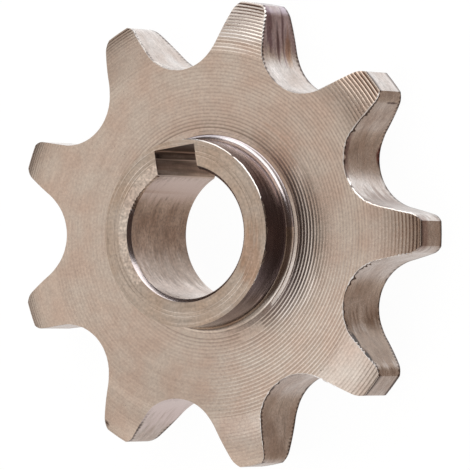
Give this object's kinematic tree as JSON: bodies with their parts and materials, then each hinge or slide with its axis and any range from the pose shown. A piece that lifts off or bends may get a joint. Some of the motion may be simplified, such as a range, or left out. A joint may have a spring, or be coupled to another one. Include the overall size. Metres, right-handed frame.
{
  "type": "chain sprocket",
  "caption": "Small steel roller-chain sprocket with relieved teeth, a short hub on one side and a keyed bore.",
  "frame": {"origin": "on the bore axis, in the middle of the toothed disc's thickness, where the chain runs", "axes": "+Z along the bore axis towards the hub's end, +Y through the middle of the keyway"},
  "size_m": [0.0498, 0.0493, 0.0127],
  "materials": {
    "turned_steel": "as turned"
  },
  "bodies": {
    "root": {"sprocket": "turned_steel"}
  },
  "joints": []
}
